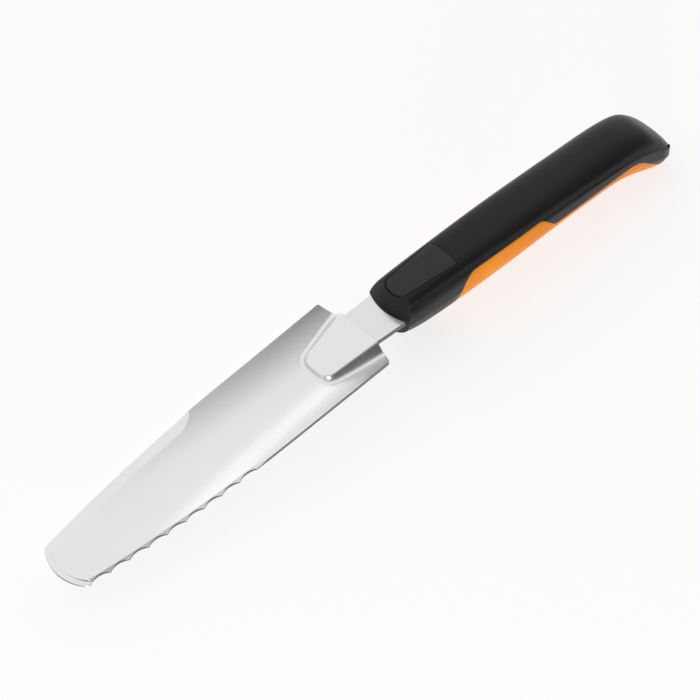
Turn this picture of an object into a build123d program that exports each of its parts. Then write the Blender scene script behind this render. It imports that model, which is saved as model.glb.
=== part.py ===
"""Hori hori knife: a trough-shaped stainless digging blade with a pressed tang pocket, and a moulded grip.

X runs along the knife, tip at -X and butt at +X. The hollow of the blade and the thumb side of the
grip face +Z. The scalloped edge is on -Y and the ground knife edge on +Y. The origin is on the
surface that the knife lies on, under the middle of its length.
"""

from build123d import *
from math import atan, copysign, cos, degrees, pi, radians, sin, sqrt, tan
import os

os.makedirs("parts", exist_ok=True)

# ---- driving dimensions, mm ----
LENGTH = 340.0
BLADE_LENGTH = 163.0
STRAP_TOP = 23.5  # height of the tang strap's upper face above the resting surface
SHEET = 1.5  # blade steel
STRAP = 2.5  # tang steel

TIP_X = -LENGTH / 2
MOUTH_X = TIP_X + BLADE_LENGTH  # blade heel, where the strap enters the pocket
GRIP_X = MOUTH_X + 14.0  # front of the grip, on its centre line

# Trough: circular sections whose curvature falls evenly towards the tip
HEEL_FLOOR = -6.6  # floor of the hollow at the heel, from STRAP_TOP
FLOOR_FALL = 0.031  # further drop per mm towards the tip
HEEL_RADIUS = 32.0
CURVE_FALL = 0.00015  # loss of curvature, 1/mm per mm
SHEET_MARGIN = 4.0  # sheet beyond the blade's outline before it is cut
TROUGH_STATIONS = (-SHEET_MARGIN, 30.0, 65.0, 100.0, 135.0, BLADE_LENGTH + SHEET_MARGIN)

# Blade outline
HEEL_HALF = 21.0
HEEL_SWEEP = 3.3  # heel corners lie this far ahead of the mouth
SWEEP_HALF = 15.0
SHOULDER = 60.0  # the edges run nearly straight from the heel to here
SHOULDER_HALF = 20.35
TIP_HALF = 12.9
TIP_BOW = 4.5
TIP_BOW_WAY = (0.24, 0.5)  # share of the bow, and of the half width, midway along the tip's curve
TIP_CORNER = 5.5
HEEL_CORNER = 1.2

# Scalloped edge
SCALLOPS = 9
PITCH = 9.1
FIRST_CUSP = 75.6  # from the mouth
SCALLOP_DEPTH = 1.5
LAND = 0.35  # thickness left at the ground edges
BEVEL_STEPS = 6
RUN_OUT_STEPS = 4
BEVEL_RUN_OUT = 8.0
BEVEL_REACH = 4.0  # how far the grinding wedges run past the edge
FIRST_SHARE = 0.01  # of the first run-out step's depth, at the very start

# Ground bevels, all on the hollow side: width, start and end, from the mouth
KNIFE_BEVEL = 4.6
KNIFE_START = 76.0
SAW_BEVEL = 1.9
SAW_START = 70.0
TIP_BEVEL = 2.2
TIP_GRIND = 0.6  # depth of the tip's bevel on the centre line
TIP_TURN = 55.0  # degrees that it runs each way round the tip

# Pressed pocket over the end of the tang
POCKET_HALF = 10.6
POCKET_LENGTH = 25.5
POCKET_NARROWING = 0.145
POCKET_SLOPE = 13.3  # degrees that its roof falls towards the tip
POCKET_FLARE = 42.0  # wall lean
POCKET_CORNER = 4.5
POCKET_ROUND = 1.3  # round of the roof's rim
POCKET_ROUND_INSIDE = 0.3
POCKET_FOOT = 2.0  # round of the foot into the trough
POCKET_DEPTH = 12.0
POCKET_RUN_OUT = 6.0  # pocket shape carried on behind the mouth
FOOT_REACH = (12.0, 2.0)  # the foot lies this far beyond the roof, ahead and past SWEEP_HALF
ON_FACE = 0.05

# Tang
TONGUE_LENGTH = 20.0
TONGUE_HALF = 9.5
TONGUE_PLAY = 0.2  # side play of its toe
STRAP_HALF = 10.2
STRAP_ENDS = (3.0, 8.0)  # the strap narrows between these, from the front of the grip
TAIL_HALF = 7.5
TAIL_CORNER = 7.0
TAIL_X = GRIP_X + 118.0
LOCK_HOLE = 3.5
LOCK_HOLES = (35.0, 62.0, 89.0)  # from the front of the grip
BEAD = 1.3
BEAD_LENGTH = 12.0
BEAD_START = 4.0
BEAD_RISE = 1.75  # up the strap's side, and as far down

# Grip sections: distance from the mouth, half width, crown, widest level, belly (levels from
# STRAP_TOP), squareness of the top, lean of the flanks
GRIP_SECTIONS = (
    (10.0, 11.0, 8.7, 0.0, -7.2, 6.0, 0.23),
    (22.0, 11.8, 9.3, 0.0, -12.9, 6.0, 0.23),
    (35.0, 12.2, 9.4, -0.2, -14.7, 5.8, 0.22),
    (50.0, 12.5, 9.4, -0.4, -15.3, 5.2, 0.20),
    (75.0, 12.8, 9.1, -0.8, -15.2, 4.2, 0.15),
    (100.0, 13.0, 8.5, -1.5, -14.0, 3.3, 0.11),
    (125.0, 13.1, 7.6, -2.4, -13.3, 2.7, 0.08),
    (142.0, 13.2, 6.8, -3.6, -13.7, 2.6, 0.06),
    (153.0, 13.3, 5.8, -5.5, -17.2, 2.6, 0.06),
    (163.0, 13.4, 2.9, -8.5, -21.8, 2.6, 0.06),
    (170.0, 13.4, -2.8, -12.0, -23.9, 2.5, 0.06),
    (177.0, 13.4, -9.8, -15.5, -24.0, 2.5, 0.06),
)
GRIP_STATIONS = 34
BUTT_ROUND = 8.0  # length over which the butt closes
BUTT_CLOSING = (0.26, 0.45)  # loss of width and of height at the end face
BELLY_SQUARENESS = 2.6
HALF_POINTS = 14
WALL = 2.6  # outer mouldings over the core
CORE_SETBACKS = (5.6, 3.6)  # core inside the front face and the butt
FRONT_RADIUS = 24.0  # plan curve of the grip's front face
FRONT_HEIGHT = 14.0  # leaning part, above the strap
FRONT_LEAN = 27.0
CHIN_LEAN = 6.0
PARTING = 0.2  # seam between the mouldings

# Belly moulding: upper edge in side view, with a lobe on each flank
LOBE_EDGE = ((40.5, -18.0), (51.0, 3.7), (95.0, 2.9), (102.5, -4.6), (146.0, -4.4))
LOBE_ROUNDS = (7.0, 5.0, 5.0)
HOOK_EDGE = ((155.0, -6.2), (162.0, -12.0), (168.5, -17.2), (182.0, -19.6))
HOOK_END = (1.0, -0.1)  # direction of its last point
RIBS = 6
RIB_PITCH = 7.4
RIB_FIRST = 55.0
RIB_DEPTH = 0.45
RIB_RADIUS = 9.0

# Thumb pad
PAD_X = (18.4, 48.0)
PAD_HALF = (5.6, 7.9)
PAD_BOW = (-1.2, 1.0)  # bulge of its front and rear edges
PAD_CORNER = 4.0
PAD_FLOOR = 6.9
PAD_HEIGHT = 10.0
PAD_GROOVE = 0.3

FAR = 60.0  # beyond every side of the knife


def at(distance, level=0.0):
    """Place in the XZ plane: distance from the mouth towards the butt, level from the strap's top."""
    return (MOUTH_X + distance, STRAP_TOP + level)


def floor_level(ahead):
    return HEEL_FLOOR - FLOOR_FALL * ahead


def trough_radius(ahead):
    return 1 / (1 / HEEL_RADIUS - CURVE_FALL * ahead)


def hollow_level(ahead, y):
    """Upper face of the sheet, `ahead` of the mouth and `y` off the centre line."""
    r = trough_radius(ahead)
    return floor_level(ahead) + r - sqrt(r * r - y * y)


def trough_sketch(ahead, drop, rise):
    """Section of the trough between `drop` under its upper face and `rise` above it."""
    r = trough_radius(ahead)
    half = HEEL_HALF + SHEET_MARGIN
    centre = STRAP_TOP + floor_level(ahead) + r
    with BuildSketch(Plane.YZ.offset(MOUTH_X - ahead)) as section:
        with BuildLine():
            low = r + drop
            side = sqrt(low * low - half * half)
            bottom = ThreePointArc((-half, centre - side), (0, centre - low), (half, centre - side))
            if rise:
                Polyline(bottom @ 1, (half, STRAP_TOP + rise), (-half, STRAP_TOP + rise), bottom @ 0)
            else:
                edge = sqrt(r * r - half * half)
                top = ThreePointArc((-half, centre - edge), (0, centre - r), (half, centre - edge))
                Line(bottom @ 1, top @ 1)
                Line(bottom @ 0, top @ 0)
        make_face()
    return section.sketch


def edge_half(ahead):
    """Half width of the blade: straight to the shoulder, then drawn in along a circle."""
    slope = (HEEL_HALF - SHOULDER_HALF) / (SHOULDER - HEEL_SWEEP)
    if ahead < SHOULDER:
        return HEEL_HALF - slope * (ahead - HEEL_SWEEP)
    run = ahead - SHOULDER
    full = BLADE_LENGTH - TIP_BOW - SHOULDER
    draw = (SHOULDER_HALF - TIP_HALF - slope * full) / full**2
    return SHOULDER_HALF - slope * run - draw * run * run


# ---- blade: stamped trough, scalloped on one edge and ground on the other ----
def outline(side):
    """One edge of the blade in plan, from the mouth to the middle of the tip."""
    tip = MOUTH_X - BLADE_LENGTH
    heel = Polyline(
        (MOUTH_X, 0), (MOUTH_X, side * SWEEP_HALF), (MOUTH_X - HEEL_SWEEP, side * HEEL_HALF)
    )
    straight = Line(heel @ 1, (MOUTH_X - SHOULDER, side * SHOULDER_HALF))
    drawn = TangentArc(straight @ 1, (tip + TIP_BOW, side * TIP_HALF), tangent=straight % 1)
    bow, half = TIP_BOW_WAY
    ThreePointArc(drawn @ 1, (tip + TIP_BOW * bow, side * TIP_HALF * half), (tip, 0))


def bevel_sketch(ahead, width, side, share=1.0):
    """Wedge that grinds the upper face down to the land at the edge; a `share` of it in the run-out."""
    y = edge_half(ahead)
    width *= share
    inner = hollow_level(ahead, y - width)
    outer = hollow_level(ahead, y) - (SHEET - LAND) * share
    fall = (outer - inner) / width
    with BuildSketch(Plane.YZ.offset(MOUTH_X - ahead)) as section:
        with BuildLine():
            Polyline(
                (side * (y - width), STRAP_TOP + inner),
                (side * (y + BEVEL_REACH), STRAP_TOP + outer + fall * BEVEL_REACH),
                (side * (y + BEVEL_REACH), STRAP_TOP + inner + BEVEL_REACH),
                (side * (y - width), STRAP_TOP + inner + BEVEL_REACH),
                close=True,
            )
        make_face()
    return section.sketch


def pocket_plane(sink):
    """Plane of the pocket's roof, sunk square to itself, with its X towards the tip."""
    slope = radians(POCKET_SLOPE)
    mouth = Vector(MOUTH_X, 0, STRAP_TOP + SHEET / cos(slope))
    normal = Vector(-sin(slope), 0, cos(slope))
    return Plane(origin=mouth - normal * sink, x_dir=(-cos(slope), 0, -sin(slope)), z_dir=normal)


def pocket(inset, sink, rounding):
    """Wedge under the pocket's roof: outline drawn in by `inset`, roof lowered by `sink`."""
    roof_plane = pocket_plane(sink)
    narrow = POCKET_HALF - POCKET_NARROWING * POCKET_LENGTH - inset
    wide = POCKET_HALF + POCKET_NARROWING * POCKET_RUN_OUT - inset
    with BuildPart() as wedge:
        with BuildSketch(roof_plane) as roof:
            with BuildLine():
                Polyline(
                    (-POCKET_RUN_OUT, -wide),
                    (POCKET_LENGTH - inset, -narrow),
                    (POCKET_LENGTH - inset, narrow),
                    (-POCKET_RUN_OUT, wide),
                    close=True,
                )
            make_face()
            fillet(roof.vertices().sort_by(Axis.X)[-2:], POCKET_CORNER - inset)
        extrude(amount=-POCKET_DEPTH, taper=-POCKET_FLARE)
        roof_face = wedge.faces().sort_by(Axis.Z)[-1]
        fillet(roof_face.edges().sort_by(Axis.X)[:-1], rounding)
    return wedge.part


def on_hollow(point):
    """Whether a point lies on the sheet's upper face, near the pocket."""
    ahead = MOUTH_X - point.X
    near = 0 < ahead < POCKET_LENGTH + FOOT_REACH[0] and abs(point.Y) < SWEEP_HALF + FOOT_REACH[1]
    return near and abs(point.Z - STRAP_TOP - hollow_level(ahead, point.Y)) < ON_FACE


with BuildPart() as above_sheet:
    loft([trough_sketch(ahead, SHEET, POCKET_DEPTH) for ahead in TROUGH_STATIONS])

with BuildPart() as blade:
    loft([trough_sketch(ahead, SHEET, 0) for ahead in TROUGH_STATIONS])
    add(pocket(0, 0, POCKET_ROUND).intersect(above_sheet.part))
    fillet(blade.edges().filter_by(lambda e: on_hollow(e @ 0.5)), POCKET_FOOT)
    wall_inset = SHEET * (1 / cos(radians(POCKET_FLARE)) - tan(radians(POCKET_FLARE)))
    add(pocket(wall_inset, SHEET, POCKET_ROUND_INSIDE), mode=Mode.SUBTRACT)
    with BuildSketch(Plane.XY) as plan:
        with BuildLine():
            outline(1)
            outline(-1)
        make_face()
        tip_corners = plan.vertices().filter_by(lambda v: abs(v.X - (TIP_X + TIP_BOW)) < 0.1)
        fillet(tip_corners, TIP_CORNER)
        heel_corners = plan.vertices().filter_by(lambda v: abs(abs(v.Y) - HEEL_HALF) < 0.1)
        fillet(heel_corners, HEEL_CORNER)
        half_pitch = PITCH / 2
        for n in range(SCALLOPS):
            middle = FIRST_CUSP + PITCH * (n + 0.5)
            y = (edge_half(middle - half_pitch) + edge_half(middle + half_pitch)) / 2
            radius = (half_pitch**2 + SCALLOP_DEPTH**2) / (2 * SCALLOP_DEPTH)
            with Locations((MOUTH_X - middle, -(y - SCALLOP_DEPTH + radius))):
                Circle(radius, mode=Mode.SUBTRACT)
    extrude(amount=FAR, mode=Mode.INTERSECT)
    with BuildSketch(Plane.XZ) as tip_wedge:
        with BuildLine():
            face = STRAP_TOP + floor_level(BLADE_LENGTH)
            fall = TIP_GRIND / TIP_BEVEL
            Polyline(
                (TIP_X + TIP_BEVEL, face),
                (TIP_X - BEVEL_REACH, face - fall * (TIP_BEVEL + BEVEL_REACH)),
                (TIP_X - BEVEL_REACH, face + BEVEL_REACH),
                (TIP_X + TIP_BEVEL, face + BEVEL_REACH),
                close=True,
            )
        make_face()
    tip_radius = (TIP_HALF**2 + TIP_BOW**2) / (2 * TIP_BOW)
    for turn in (1, -1):
        bow_axis = Axis((TIP_X + tip_radius, 0, 0), (0, 0, turn))
        revolve(tip_wedge.sketch, bow_axis, revolution_arc=TIP_TURN, mode=Mode.SUBTRACT)
    for start, end, width, side in (
        (KNIFE_START, BLADE_LENGTH, KNIFE_BEVEL, 1),
        (SAW_START, BLADE_LENGTH, SAW_BEVEL, -1),
    ):
        full = start + BEVEL_RUN_OUT
        shares = [sqrt(max(n, FIRST_SHARE) / RUN_OUT_STEPS) for n in range(RUN_OUT_STEPS + 1)]
        grow = [start + BEVEL_RUN_OUT * n / RUN_OUT_STEPS for n in range(RUN_OUT_STEPS + 1)]
        steps = [full + (end - full) * n / BEVEL_STEPS for n in range(BEVEL_STEPS + 1)]
        loft([bevel_sketch(a, width, side, share) for a, share in zip(grow, shares)], mode=Mode.SUBTRACT)
        loft([bevel_sketch(a, width, side) for a in steps], mode=Mode.SUBTRACT)
blade.part.label = "blade"
export_step(blade.part, "parts/blade.step")


# ---- tang: flat strap, bent down at the mouth to lie against the pocket's roof ----
with BuildPart() as tang:
    slope = radians(POCKET_SLOPE)
    with BuildSketch(Plane.XZ):
        with BuildLine():
            knee = (MOUTH_X, STRAP_TOP)
            toe = (MOUTH_X - TONGUE_LENGTH * cos(slope), STRAP_TOP - TONGUE_LENGTH * sin(slope))
            Polyline((TAIL_X, STRAP_TOP), knee, toe)
            offset(amount=STRAP, side=Side.LEFT)
        make_face()
    extrude(amount=FAR, both=True)
    with BuildSketch(Plane.XY) as plan:
        with BuildLine():
            toe_half = TONGUE_HALF - POCKET_NARROWING * TONGUE_LENGTH - TONGUE_PLAY
            Polyline(
                (toe[0], 0),
                (toe[0], toe_half),
                (MOUTH_X, TONGUE_HALF),
                (GRIP_X + STRAP_ENDS[0], STRAP_HALF),
                (GRIP_X + STRAP_ENDS[1], TAIL_HALF),
                (TAIL_X, TAIL_HALF),
                (TAIL_X, 0),
            )
            mirror(about=Plane.XZ)
        make_face()
        fillet(plan.vertices().group_by(Axis.X)[0], POCKET_CORNER)
        fillet(plan.vertices().group_by(Axis.X)[-1], TAIL_CORNER)
        with Locations(*[(GRIP_X + d, 0) for d in LOCK_HOLES]):
            Circle(LOCK_HOLE, mode=Mode.SUBTRACT)
    extrude(amount=FAR, mode=Mode.INTERSECT)
tang.part.label = "tang"
export_step(tang.part, "parts/tang.step")


# ---- weld beads: filler run along both sides of the tongue, inside the pocket ----
with BuildPart() as weld_beads:
    under = pocket_plane(SHEET + STRAP)
    along = BEAD_START + BEAD_LENGTH / 2
    for side in (1, -1):
        half = TONGUE_HALF - POCKET_NARROWING * along
        turn = side * degrees(atan(POCKET_NARROWING))
        with BuildSketch(under):
            with Locations(Location((along, -side * half), turn)):
                SlotOverall(BEAD_LENGTH, 2 * BEAD)
        extrude(amount=BEAD_RISE, both=True)
    add(tang.part, mode=Mode.SUBTRACT)
    add(blade.part, mode=Mode.SUBTRACT)
weld_beads.part.label = "weld_beads"
export_step(weld_beads.part, "parts/weld_beads.step")


# ---- grip ----
def grip_values(distance):
    """Section values on smooth cubics through the rows of GRIP_SECTIONS."""
    rows = GRIP_SECTIONS
    i = max(n for n in range(len(rows) - 1) if rows[n][0] <= distance)

    def pace(n, k):
        before, after = max(n - 1, 0), min(n + 1, len(rows) - 1)
        return (rows[after][k] - rows[before][k]) / (rows[after][0] - rows[before][0])

    span = rows[i + 1][0] - rows[i][0]
    t = (distance - rows[i][0]) / span
    return [
        rows[i][k] * (1 + 2 * t) * (1 - t) ** 2
        + rows[i + 1][k] * t * t * (3 - 2 * t)
        + span * (pace(i, k) * t * (1 - t) ** 2 - pace(i + 1, k) * t * t * (1 - t))
        for k in range(1, len(rows[0]))
    ]


def grip_sketch(distance, inset):
    """Section of the grip: superellipse halves above and below its widest level."""
    half, crown, widest, belly, squareness, lean = grip_values(distance)
    past = max(0.0, distance - (GRIP_SECTIONS[-1][0] - BUTT_ROUND)) / BUTT_ROUND
    closed = 1 - sqrt(max(0.0, 1 - past * past))
    half *= 1 - BUTT_CLOSING[0] * closed
    shrink = 1 - BUTT_CLOSING[1] * closed

    def half_points(sign):
        power = 2 / (squareness if sign > 0 else BELLY_SQUARENESS)
        height = (crown - widest if sign > 0 else widest - belly) * shrink - inset
        points = []
        for n in range(HALF_POINTS + 1):
            angle = pi * n / HALF_POINTS
            rise = sin(angle) ** power if 0 < n < HALF_POINTS else 0.0
            y = (half - inset) * copysign(abs(cos(angle)) ** power, cos(angle))
            if sign > 0:
                y *= 1 - lean * rise
            points.append((y, STRAP_TOP + widest + sign * rise * height))
        return points

    with BuildSketch(Plane.YZ.offset(MOUTH_X + distance)) as section:
        with BuildLine():
            for sign in (1, -1):
                Spline(*half_points(sign), tangents=[(0, sign), (0, -sign)])
        make_face()
    return section.sketch


def grip_loft(start, end, inset):
    """Loft whose stations close up evenly towards the butt."""
    steps = [1 - n / GRIP_STATIONS for n in range(GRIP_STATIONS + 1)]
    stations = [end - (end - start) * step * step for step in steps]
    return Solid.make_loft([grip_sketch(d, inset).wires()[0] for d in stations])


def front_shape(setback):
    """Everything behind the bowed, leaning front face, `setback` inside it."""
    radius = FRONT_RADIUS
    with BuildPart() as behind:
        with BuildSketch(Plane.XY.offset(STRAP_TOP)) as plan:
            with BuildLine():
                front = GRIP_X + setback
                nose = ThreePointArc((front + radius, radius), (front, 0), (front + radius, -radius))
                Polyline(nose @ 1, (LENGTH, -radius), (LENGTH, radius), nose @ 0)
            make_face()
        extrude(amount=FRONT_HEIGHT, taper=FRONT_LEAN)
        extrude(plan.sketch, amount=-FAR / 2, taper=CHIN_LEAN)
    return behind.part


with BuildPart() as envelope:
    add(grip_loft(GRIP_SECTIONS[0][0], GRIP_SECTIONS[-1][0], 0))
    add(front_shape(0), mode=Mode.INTERSECT)
    split(bisect_by=Plane.XY, keep=Keep.TOP)

with BuildPart() as core_shape:
    add(grip_loft(GRIP_SECTIONS[0][0], GRIP_SECTIONS[-1][0] - CORE_SETBACKS[1], WALL))
    add(front_shape(CORE_SETBACKS[0]), mode=Mode.INTERSECT)


def belly_region(gap):
    """Side view of the belly moulding run through the grip, its upper edge lowered by `gap`."""
    with BuildPart() as region:
        with BuildSketch(Plane.XZ):
            with BuildLine():
                edge = [at(x, z - gap) for x, z in LOBE_EDGE]
                lobe = FilletPolyline(*edge, radius=LOBE_ROUNDS)
                rear = [at(x, z - gap) for x, z in HOOK_EDGE]
                hook = Spline(lobe @ 1, *rear, tangents=[(1, 0), HOOK_END])
                Polyline(hook @ 1, (LENGTH, -FAR), (edge[0][0], -FAR), lobe @ 0)
            make_face()
        extrude(amount=FAR, both=True)
    return region.part


def pad_column(margin):
    """Plan of the thumb pad, grown by `margin`, standing on the floor of its recess."""
    front, rear = at(PAD_X[0])[0], at(PAD_X[1])[0]
    half_front, half_rear = PAD_HALF
    with BuildPart() as column:
        with BuildSketch(Plane.XY.offset(STRAP_TOP + PAD_FLOOR)) as plan:
            with BuildLine():
                corner = front - PAD_BOW[0]
                nose = ThreePointArc((corner, -half_front), (front, 0), (corner, half_front))
                flank = Line(nose @ 1, (rear, half_rear))
                back = ThreePointArc(flank @ 1, (rear + PAD_BOW[1], 0), (rear, -half_rear))
                Line(back @ 1, nose @ 0)
            make_face()
            fillet(plan.vertices().group_by(Axis.X)[0], PAD_CORNER)
            offset(amount=margin)
        extrude(amount=PAD_HEIGHT)
    return column.part


# ---- handle core: inner moulding cast round the tang and through its lock holes ----
with BuildPart() as handle_core:
    add(core_shape.part)
    add(tang.part, mode=Mode.SUBTRACT)
handle_core.part.label = "handle_core"
export_step(handle_core.part, "parts/handle_core.step")

# ---- thumb pad: soft inlay in the top of the grip ----
with BuildPart() as thumb_pad:
    add(envelope.part)
    add(pad_column(0), mode=Mode.INTERSECT)
thumb_pad.part.label = "thumb_pad"
export_step(thumb_pad.part, "parts/thumb_pad.step")

# ---- handle shell: black outer moulding, from the front face to the butt ----
with BuildPart() as handle_shell:
    add(envelope.part)
    add(belly_region(0), mode=Mode.SUBTRACT)
    add(core_shape.part, mode=Mode.SUBTRACT)
    add(tang.part, mode=Mode.SUBTRACT)
    add(pad_column(PAD_GROOVE), mode=Mode.SUBTRACT)
handle_shell.part.label = "handle_shell"
export_step(handle_shell.part, "parts/handle_shell.step")

# ---- belly grip: lower moulding with a lobe up each flank and finger ribs underneath ----
with BuildPart() as belly_grip:
    add(envelope.part)
    add(belly_region(PARTING), mode=Mode.INTERSECT)
    add(core_shape.part, mode=Mode.SUBTRACT)
    for n in range(RIBS):
        distance = RIB_FIRST + n * RIB_PITCH
        belly = grip_values(distance)[3]
        with Locations((at(distance)[0], 0, STRAP_TOP + belly + RIB_DEPTH - RIB_RADIUS)):
            Cylinder(RIB_RADIUS, FAR, rotation=(90, 0, 0), mode=Mode.SUBTRACT)
belly_grip.part.label = "belly_grip"
export_step(belly_grip.part, "parts/belly_grip.step")
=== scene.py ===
"""Looks of the hori hori knife: camera, studio, and a procedural material for every piece."""

import math

import bpy
from mathutils import Matrix, Vector


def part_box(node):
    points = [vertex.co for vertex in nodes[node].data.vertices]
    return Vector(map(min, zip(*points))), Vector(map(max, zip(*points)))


MM = 0.001
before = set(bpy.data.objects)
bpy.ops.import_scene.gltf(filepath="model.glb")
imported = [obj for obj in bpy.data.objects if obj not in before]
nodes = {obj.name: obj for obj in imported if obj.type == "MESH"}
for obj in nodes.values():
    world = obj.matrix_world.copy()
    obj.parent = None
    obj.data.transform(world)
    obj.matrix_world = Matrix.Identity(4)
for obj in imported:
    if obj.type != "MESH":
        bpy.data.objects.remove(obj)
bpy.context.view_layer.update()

# ---- places, all from the frame ----
mouth_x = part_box("blade")[1].x  # heel of the blade, where the strap leaves the pocket
strap_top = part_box("tang")[1].z

# ---- camera ----
AZIMUTH = -43.94  # degrees, from looking along +Y
ELEVATION = 50.62
DISTANCE = 1.3056
FOCAL = 164.9  # mm on a 36 mm sensor
AIM_OFFSET = (3.77 * MM, 8.31 * MM)  # of the mouth from the picture's middle, right and down


def make_camera():
    a, e = math.radians(AZIMUTH), math.radians(ELEVATION)
    back = Vector((math.sin(a) * math.cos(e), -math.cos(a) * math.cos(e), math.sin(e)))
    right = Vector((math.cos(a), math.sin(a), 0))
    up = back.cross(right)
    target = Vector((mouth_x, 0, strap_top))
    place = target + back * DISTANCE - right * AIM_OFFSET[0] - up * AIM_OFFSET[1]
    camera = bpy.data.objects.new("camera", bpy.data.cameras.new("camera"))
    camera.data.lens = FOCAL
    camera.data.clip_start = 0.01
    camera.matrix_world = Matrix(
        (
            (right.x, up.x, back.x, place.x),
            (right.y, up.y, back.y, place.y),
            (right.z, up.z, back.z, place.z),
            (0, 0, 0, 1),
        )
    )
    bpy.context.scene.collection.objects.link(camera)
    bpy.context.scene.camera = camera


# ---- node helpers ----
class Shader:
    """A node material with its principled shader and object coordinates."""

    def __init__(self, name):
        self.material = bpy.data.materials.new(name)
        self.material.use_nodes = True
        self.tree = self.material.node_tree
        self.tree.nodes.clear()
        self.out = self.tree.nodes.new("ShaderNodeOutputMaterial")
        self.main = self.tree.nodes.new("ShaderNodeBsdfPrincipled")
        self.link(self.main.outputs["BSDF"], self.out.inputs["Surface"])
        self.coordinates = self.tree.nodes.new("ShaderNodeTexCoord")
        self.place = self.coordinates.outputs["Object"]

    def link(self, output, socket):
        self.tree.links.new(output, socket)

    def node(self, kind, **settings):
        made = self.tree.nodes.new(kind)
        for key, value in settings.items():
            setattr(made, key, value)
        return made

    def noise(self, stretch, scale, detail=3.0, roughness=0.5):
        """Noise over the object's own place, in metres, squeezed by `stretch`."""
        mapping = self.node("ShaderNodeMapping")
        mapping.inputs["Scale"].default_value = stretch
        self.link(self.place, mapping.inputs["Vector"])
        made = self.node("ShaderNodeTexNoise")
        made.inputs["Scale"].default_value = scale
        made.inputs["Detail"].default_value = detail
        made.inputs["Roughness"].default_value = roughness
        self.link(mapping.outputs["Vector"], made.inputs["Vector"])
        return made.outputs["Fac"]

    def span(self, value, low, high, start=0.0, end=1.0):
        """`value` from start..end spread over low..high, held at both ends."""
        made = self.node("ShaderNodeMapRange")
        made.inputs["From Min"].default_value = start
        made.inputs["From Max"].default_value = end
        made.inputs["To Min"].default_value = low
        made.inputs["To Max"].default_value = high
        self.link(value, made.inputs["Value"])
        return made.outputs["Result"]

    def maths(self, operation, a, b=None):
        made = self.node("ShaderNodeMath", operation=operation)
        for socket, value in zip(made.inputs, (a, b)):
            if isinstance(value, (int, float)):
                socket.default_value = value
            elif value is not None:
                self.link(value, socket)
        return made.outputs[0]

    def mix(self, share, dark, light):
        """Colour between two colours or sockets."""
        made = self.node("ShaderNodeMix", data_type="RGBA")
        self.link(share, made.inputs["Factor"])
        for socket, value in ((made.inputs[6], dark), (made.inputs[7], light)):
            if isinstance(value, tuple):
                socket.default_value = (*value, 1)
            else:
                self.link(value, socket)
        return made.outputs[2]

    def rounded(self, radius):
        """Normal with the sharp edges of the moulding or sheet rounded off."""
        made = self.node("ShaderNodeBevel", samples=4)
        made.inputs["Radius"].default_value = radius
        return made.outputs["Normal"]

    def bump(self, height, strength, distance, under=None):
        made = self.node("ShaderNodeBump")
        made.inputs["Strength"].default_value = strength
        made.inputs["Distance"].default_value = distance
        self.link(height, made.inputs["Height"])
        if under:
            self.link(under, made.inputs["Normal"])
        return made.outputs["Normal"]

    def upright(self):
        """How far the surface faces up or down: 0 on the sheet's cut edges."""
        split = self.node("ShaderNodeSeparateXYZ")
        self.link(self.coordinates.outputs["Normal"], split.inputs["Vector"])
        return self.maths("ABSOLUTE", split.outputs["Z"])

    def edge(self, low=0.50, high=0.56):
        """1 along convex edges and 0 elsewhere, from pointiness."""
        geometry = self.node("ShaderNodeNewGeometry")
        return self.span(geometry.outputs["Pointiness"], 0.0, 1.0, low, high)


# ---- materials ----
STEEL_EDGE = 0.2 * MM
CUT_EDGE = (0.30, 0.52)  # how far up a face looks, from cut edge to sheet face
EDGE_FINISH_AND_SHADE = (0.16, 0.16, 0.17)  # cut edges of the sheet, darker: their duller cut finish plus painted shade
BRUSHED = (1.5, 120, 120)  # stretch of the brushing along X
MOULDED_EDGE = 0.8 * MM


def steel(name, tint, rough):
    """Satin stainless: brushed lengthwise, faint clouding, cut edges darkened by their duller
    finish plus painted shade.
    """
    s = Shader(name)
    brush = s.noise(BRUSHED, 22, 6, 0.6)
    fine = s.noise(tuple(4 * v for v in BRUSHED), 40, 4, 0.6)
    cloud = s.noise((1, 1, 1), 26, 3, 0.5)
    scratch = s.maths("POWER", s.noise((9, 300, 300), 9, 2, 0.4), 6.0)
    tone = s.maths("ADD", s.maths("MULTIPLY", brush, 0.6), s.maths("MULTIPLY", cloud, 0.4))
    dark = tuple(0.93 * c for c in tint)
    # Faces that point sideways, the sheet's cut edges, get the dark edge colour: painted shade
    # plus their duller cut finish.
    face = s.span(s.upright(), 0.0, 1.0, *CUT_EDGE)
    s.link(s.mix(face, EDGE_FINISH_AND_SHADE, s.mix(tone, dark, tint)), s.main.inputs["Base Color"])
    wear = s.edge()
    roughness = s.span(brush, rough - 0.05, rough + 0.07, 0.3, 0.7)
    clouding = s.maths("MULTIPLY", s.maths("SUBTRACT", cloud, 0.5), 0.08)
    roughness = s.maths("ADD", roughness, clouding)
    roughness = s.maths("SUBTRACT", roughness, s.maths("MULTIPLY", wear, 0.06))
    s.link(roughness, s.main.inputs["Roughness"])
    s.main.inputs["Metallic"].default_value = 1.0
    s.main.inputs["Anisotropic"].default_value = 0.35
    normal = s.bump(brush, 0.06, 0.00004, s.rounded(STEEL_EDGE))
    normal = s.bump(fine, 0.05, 0.00002, normal)
    normal = s.bump(scratch, 0.10, 0.00003, normal)
    s.link(normal, s.main.inputs["Normal"])
    return s.material


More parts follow.
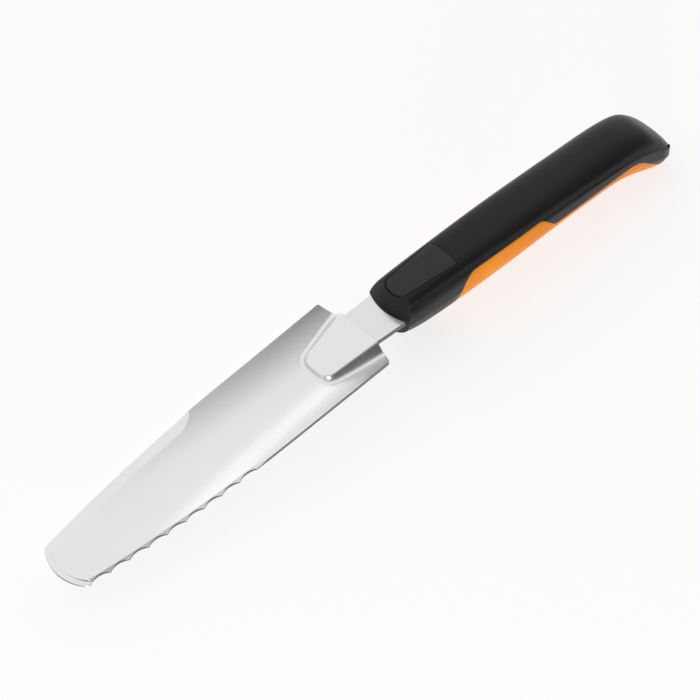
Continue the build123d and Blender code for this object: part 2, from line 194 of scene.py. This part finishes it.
def moulded(name, tint, rough, spark=1.0, shine=0.4):
    """Moulded plastic: spark-eroded micro texture, slow gloss changes, edges rubbed smoother."""
    s = Shader(name)
    spark_noise = s.noise((1, 1, 1), 2600, 4, 0.65)
    orange_peel = s.noise((1, 1, 1), 420, 3, 0.5)
    slow = s.noise((1, 1.6, 1.6), 30, 4, 0.55)
    dark = tuple(0.86 * c for c in tint)
    light = tuple(min(1.0, 1.10 * c) for c in tint)
    s.link(s.mix(s.span(slow, 0, 1, 0.35, 0.65), dark, light), s.main.inputs["Base Color"])
    wear = s.edge()
    roughness = s.span(slow, rough - 0.045, rough + 0.045, 0.35, 0.65)
    grit = s.maths("MULTIPLY", s.maths("SUBTRACT", spark_noise, 0.5), 0.10)
    roughness = s.maths("ADD", roughness, grit)
    roughness = s.maths("SUBTRACT", roughness, s.maths("MULTIPLY", wear, 0.08))
    s.link(roughness, s.main.inputs["Roughness"])
    s.main.inputs["Specular IOR Level"].default_value = shine
    normal = s.bump(spark_noise, 0.16 * spark, 0.00005, s.rounded(MOULDED_EDGE))
    normal = s.bump(orange_peel, 0.05, 0.0001, normal)
    s.link(normal, s.main.inputs["Normal"])
    return s.material


def weld_metal():
    """Wire-brushed weld: rippled along the bead, straw and blue heat tints."""
    s = Shader("weld_metal")
    ripple = s.node("ShaderNodeTexWave", bands_direction="X")
    ripple.inputs["Scale"].default_value = 420
    ripple.inputs["Distortion"].default_value = 2.0
    s.link(s.place, ripple.inputs["Vector"])
    tint = s.noise((1, 1, 1), 160, 3)
    s.link(s.mix(tint, (0.34, 0.29, 0.22), (0.36, 0.38, 0.42)), s.main.inputs["Base Color"])
    s.link(s.span(tint, 0.3, 0.5), s.main.inputs["Roughness"])
    s.main.inputs["Metallic"].default_value = 1.0
    s.link(s.bump(ripple.outputs["Fac"], 0.5, 0.0002), s.main.inputs["Normal"])
    return s.material


def dress(name, *materials):
    """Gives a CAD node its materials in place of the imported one."""
    slots = nodes[name].data.materials
    slots.clear()
    for material in materials:
        slots.append(material)


# ---- studio ----
FLOOR_DROP = 0.05 * MM
FLOOR_SIZE = 6.0
FLOOR_GLOW = 0.74  # emission, about three quarters of the floor's brightness
PAPER_DARK = (0.27, 0.27, 0.27)
PAPER_LIGHT = (0.29, 0.29, 0.29)
SKY_BRIGHT, SKY_DIM = 1.0, 0.12  # strength towards +Y and towards -Y
SKY_FROM, SKY_TO = -0.95, 0.25  # Y of the directions that the sky fades between


def make_floor():
    """Grey paper that glows white, which keeps it pale and its shadows and colour casts faint."""
    bpy.ops.mesh.primitive_plane_add(size=FLOOR_SIZE, location=(0, 0, -FLOOR_DROP))
    floor = bpy.context.object
    floor.name = "floor"
    s = Shader("floor_paper")
    grain = s.noise((1, 1, 1), 300, 3)
    s.link(s.mix(grain, PAPER_DARK, PAPER_LIGHT), s.main.inputs["Base Color"])
    s.main.inputs["Roughness"].default_value = 0.9
    s.main.inputs["Specular IOR Level"].default_value = 0.1
    s.main.inputs["Emission Color"].default_value = (1, 1, 1, 1)
    s.main.inputs["Emission Strength"].default_value = FLOOR_GLOW
    floor.data.materials.append(s.material)


def area_light(name, place, towards, size, power):
    light = bpy.data.lights.new(name, "AREA")
    light.shape = "RECTANGLE"
    light.size, light.size_y = size
    light.energy = power
    holder = bpy.data.objects.new(name, light)
    holder.location = place
    direction = Vector(towards) - Vector(place)
    holder.rotation_euler = direction.to_track_quat("-Z", "Y").to_euler()
    bpy.context.scene.collection.objects.link(holder)


def make_world():
    """White sky, dimmer towards -Y."""
    world = bpy.data.worlds.new("studio")
    bpy.context.scene.world = world
    world.use_nodes = True
    tree = world.node_tree
    background = tree.nodes["Background"]
    background.inputs["Color"].default_value = (1, 1, 1, 1)
    direction = tree.nodes.new("ShaderNodeTexCoord").outputs["Generated"]
    split = tree.nodes.new("ShaderNodeSeparateXYZ")
    tree.links.new(direction, split.inputs["Vector"])
    spread = tree.nodes.new("ShaderNodeMapRange")
    spread.inputs["From Min"].default_value = SKY_FROM
    spread.inputs["From Max"].default_value = SKY_TO
    spread.inputs["To Min"].default_value = SKY_DIM
    spread.inputs["To Max"].default_value = SKY_BRIGHT
    tree.links.new(split.outputs["Y"], spread.inputs["Value"])
    tree.links.new(spread.outputs["Result"], background.inputs["Strength"])


make_camera()
make_world()
make_floor()
area_light("rim", (0.45, 1.00, 0.62), (0, 0, 0), (1.1, 0.40), 0.35)
area_light("fill", (-0.85, -0.80, 0.14), (0.06, 0, 0.015), (0.4, 0.22), 9.0)

dress("blade", steel("blade_satin", (0.80, 0.80, 0.81), 0.22))
dress("tang", steel("tang_satin", (0.76, 0.76, 0.77), 0.25))
dress("weld_beads", weld_metal())
dress("handle_core", moulded("core_nylon", (0.03, 0.03, 0.03), 0.55))
dress("handle_shell", moulded("black_satin", (0.007, 0.007, 0.0075), 0.36, shine=0.22))
dress("belly_grip", moulded("orange_satin", (0.78, 0.235, 0.002), 0.38, shine=0.15))
dress("thumb_pad", moulded("soft_black", (0.016, 0.016, 0.016), 0.44, spark=1.6, shine=0.30))

scene = bpy.context.scene
scene.view_settings.view_transform = "Standard"
